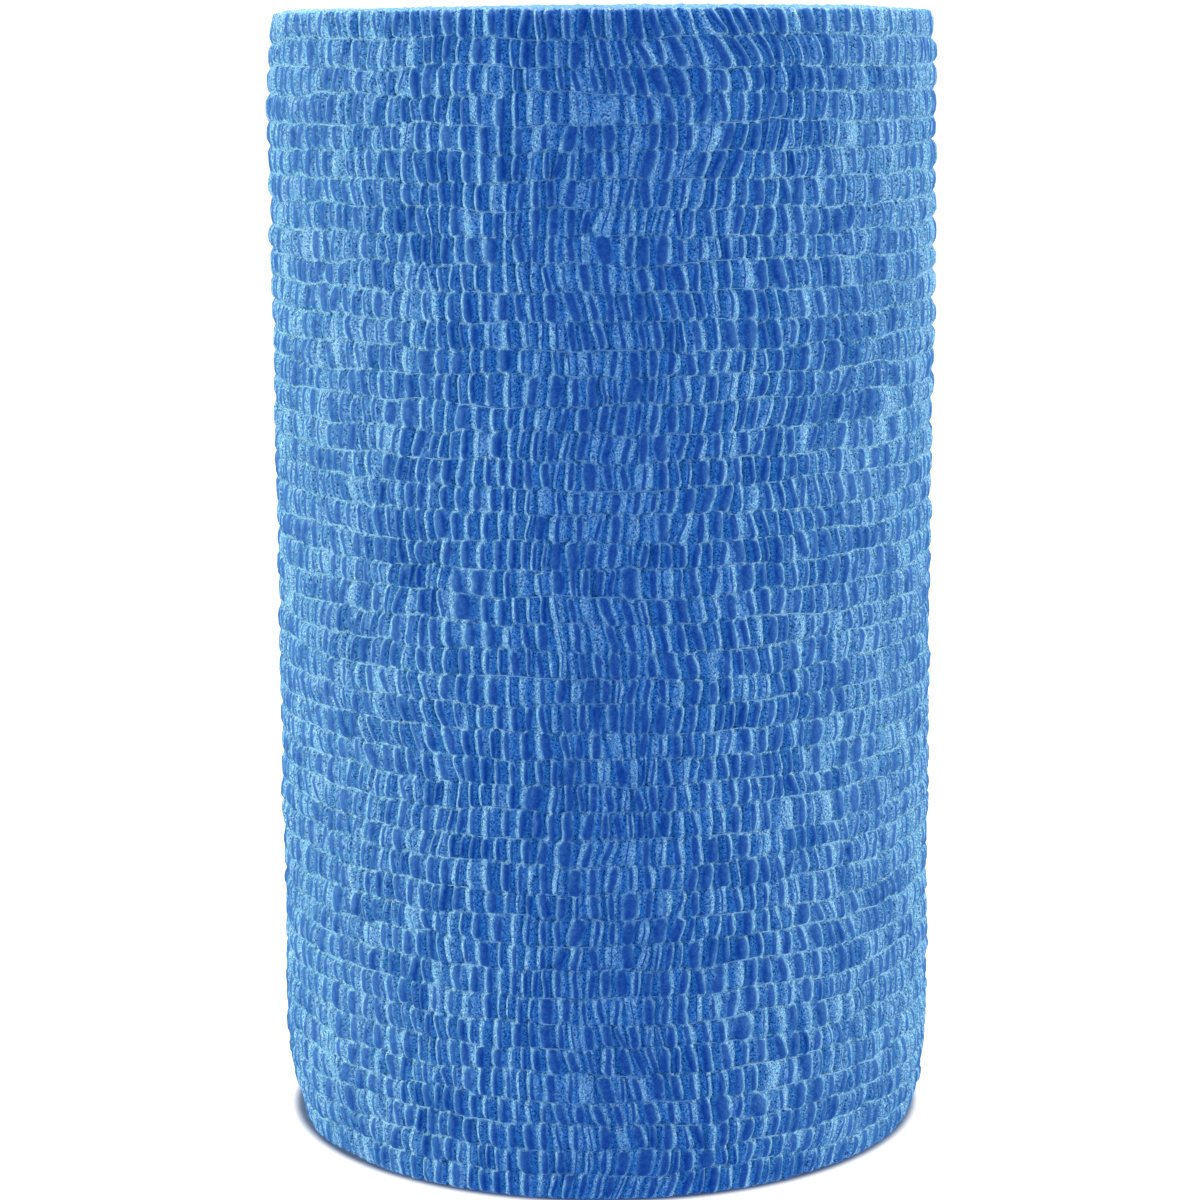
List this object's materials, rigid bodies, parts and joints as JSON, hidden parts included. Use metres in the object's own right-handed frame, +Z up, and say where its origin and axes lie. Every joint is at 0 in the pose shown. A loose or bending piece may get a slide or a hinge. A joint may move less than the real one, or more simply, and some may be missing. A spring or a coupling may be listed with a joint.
{
  "type": "cohesive bandage roll",
  "caption": "Crinkled blue self-gripping elastic bandage wound into a coreless roll that stands on one end.",
  "frame": {"origin": "centre of the roll's lower end, on the surface that it stands on", "axes": "+Z up along the roll's axis and across the cloth's width, -Y towards the viewer, with the cloth's free end at the back"},
  "size_m": [0.0593, 0.0589, 0.1],
  "materials": {
    "cohesive_cloth": "matt crinkled non-woven cloth, royal blue, with lighter fuzzy ridges"
  },
  "bodies": {
    "root": {"bandage_roll": "cohesive_cloth"}
  },
  "joints": []
}
